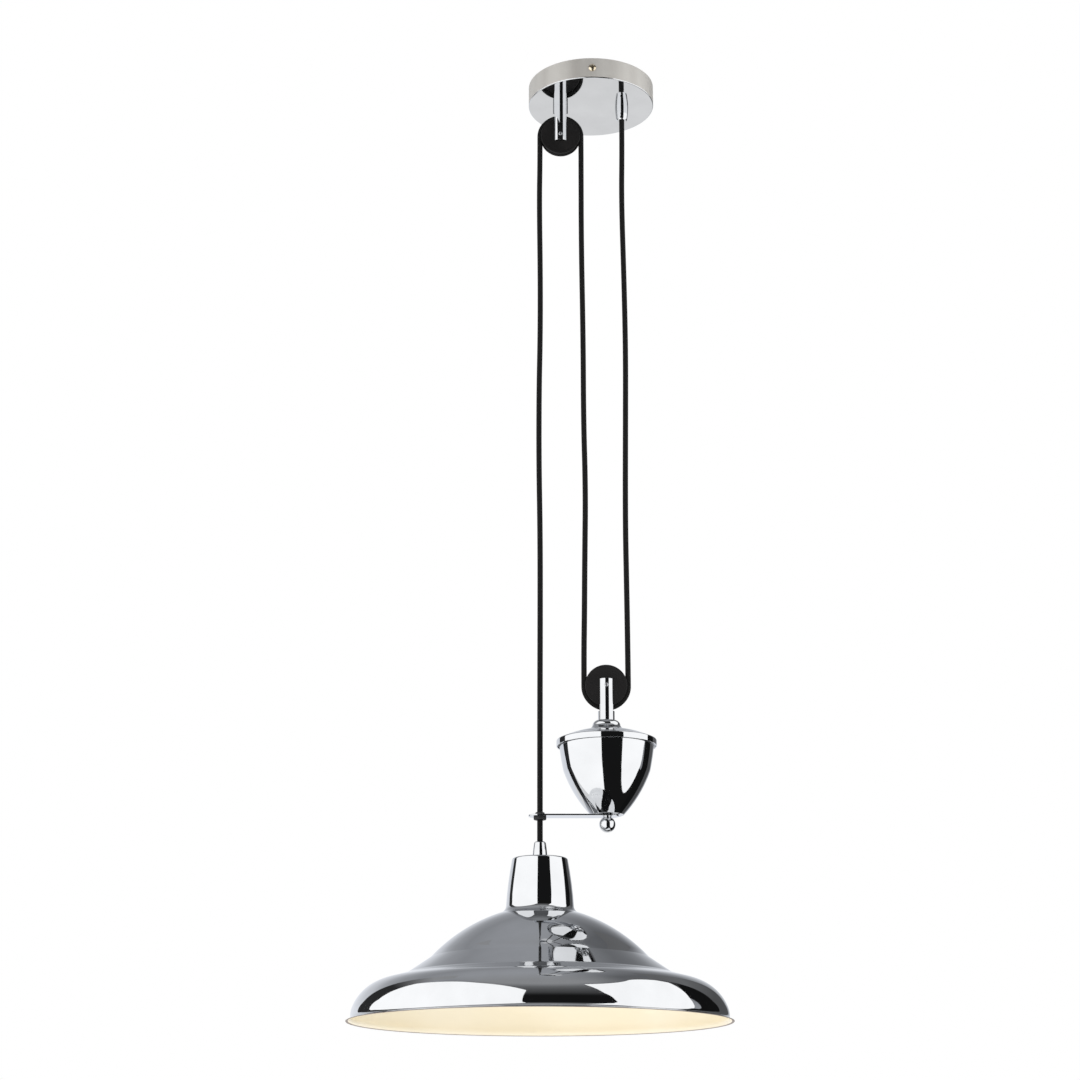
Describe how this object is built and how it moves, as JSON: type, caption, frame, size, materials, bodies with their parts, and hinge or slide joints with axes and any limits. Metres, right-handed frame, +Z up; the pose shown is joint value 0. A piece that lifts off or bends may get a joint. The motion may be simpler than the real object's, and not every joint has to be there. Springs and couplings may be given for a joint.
{
  "type": "rise and fall pendant",
  "caption": "Counterweighted ceiling pendant: a wide spun shade hangs on one braided flex that runs over two pulleys, so it can be pulled down or pushed up.",
  "frame": {"origin": "centre of the rose on the ceiling plane", "axes": "+Z up into the ceiling, X along the row of cord runs with the lamp at -X, the front looks to -Y"},
  "size_m": [0.36, 0.3598, 0.9611],
  "materials": {
    "polished_chrome": "polished chrome plate",
    "bare_steel": "zinc plated",
    "brass": "satin",
    "black_plastic": "matt",
    "black_flex": "braided textile",
    "black_rubber": "matt",
    "cast_iron": "as cast",
    "white_plastic": "moulded",
    "black_moulding": "moulded",
    "white_ceramic": "unglazed",
    "core_sleeve": "pvc"
  },
  "bodies": {
    "ceiling_rose": {"ceiling_bracket": "bare_steel", "rose_cover": "polished_chrome", "rose_side_screws": "brass", "terminal_block": "white_plastic", "terminal_screws": "brass", "block_screws": "bare_steel", "earth_screw": "brass", "upper_fork": "polished_chrome", "upper_fork_bolt": "bare_steel", "fork_washer": "bare_steel", "upper_axle": "bare_steel", "rose_cord_grip": "polished_chrome", "rose_grip_nut": "bare_steel", "rose_grip_screw": "bare_steel", "rose_cores": "core_sleeve", "cord_rose_tail": "black_flex", "cord_rose_run": "black_flex", "cord_middle_run": "black_flex", "cord_upper_loop": "black_flex", "cord_lamp_run": "black_flex"},
    "upper_wheel": {"upper_pulley": "black_plastic"},
    "counterweight": {"lower_fork": "polished_chrome", "lower_axle": "bare_steel", "weight_lid": "polished_chrome", "lid_nut": "bare_steel", "weight_shell": "polished_chrome", "weight_core": "cast_iron", "core_nut": "bare_steel", "weight_rod": "bare_steel", "guide_arm": "polished_chrome", "arm_grommet": "black_rubber", "ball_finial": "polished_chrome", "cord_lower_loop": "black_flex"},
    "lower_wheel": {"lower_pulley": "black_plastic"},
    "lamp": {"shade": "polished_chrome", "shade_cord_grip": "polished_chrome", "shade_grip_screw": "bare_steel", "holder_cap": "black_moulding", "holder_skirt": "black_moulding", "holder_insert": "white_ceramic", "holder_screws": "brass", "screw_shell": "brass", "centre_contact": "brass", "lamp_cores": "core_sleeve", "cord_lamp_tail": "black_flex"}
  },
  "joints": [
    {"name": "lamp_travel", "type": "slide", "parent": "ceiling_rose", "child": "lamp", "axis": [0, 0, -1], "range_m": [-0.012, 0.9], "deforming": ["cord_lamp_run"]},
    {"name": "counterweight_travel", "type": "slide", "parent": "ceiling_rose", "child": "counterweight", "axis": [0, 0, 1], "range_m": [-0.0065, 0.4505], "deforming": ["cord_rose_run", "cord_middle_run"]},
    {"name": "upper_pulley_spin", "type": "hinge", "parent": "ceiling_rose", "child": "upper_wheel", "pos_m": [-0.032, 0, -0.056], "axis": [0, 1, 0], "continuous": true},
    {"name": "lower_pulley_spin", "type": "hinge", "parent": "counterweight", "child": "lower_wheel", "pos_m": [0.01067, 0, -0.6418], "axis": [0, 1, 0], "continuous": true}
  ],
  "couplings": [
    {"joint": "counterweight_travel", "follows": "lamp_travel", "ratio": 0.5},
    {"joint": "upper_pulley_spin", "follows": "lamp_travel", "rad_per_m": -46.875},
    {"joint": "lower_pulley_spin", "follows": "lamp_travel", "rad_per_m": 23.438}
  ]
}
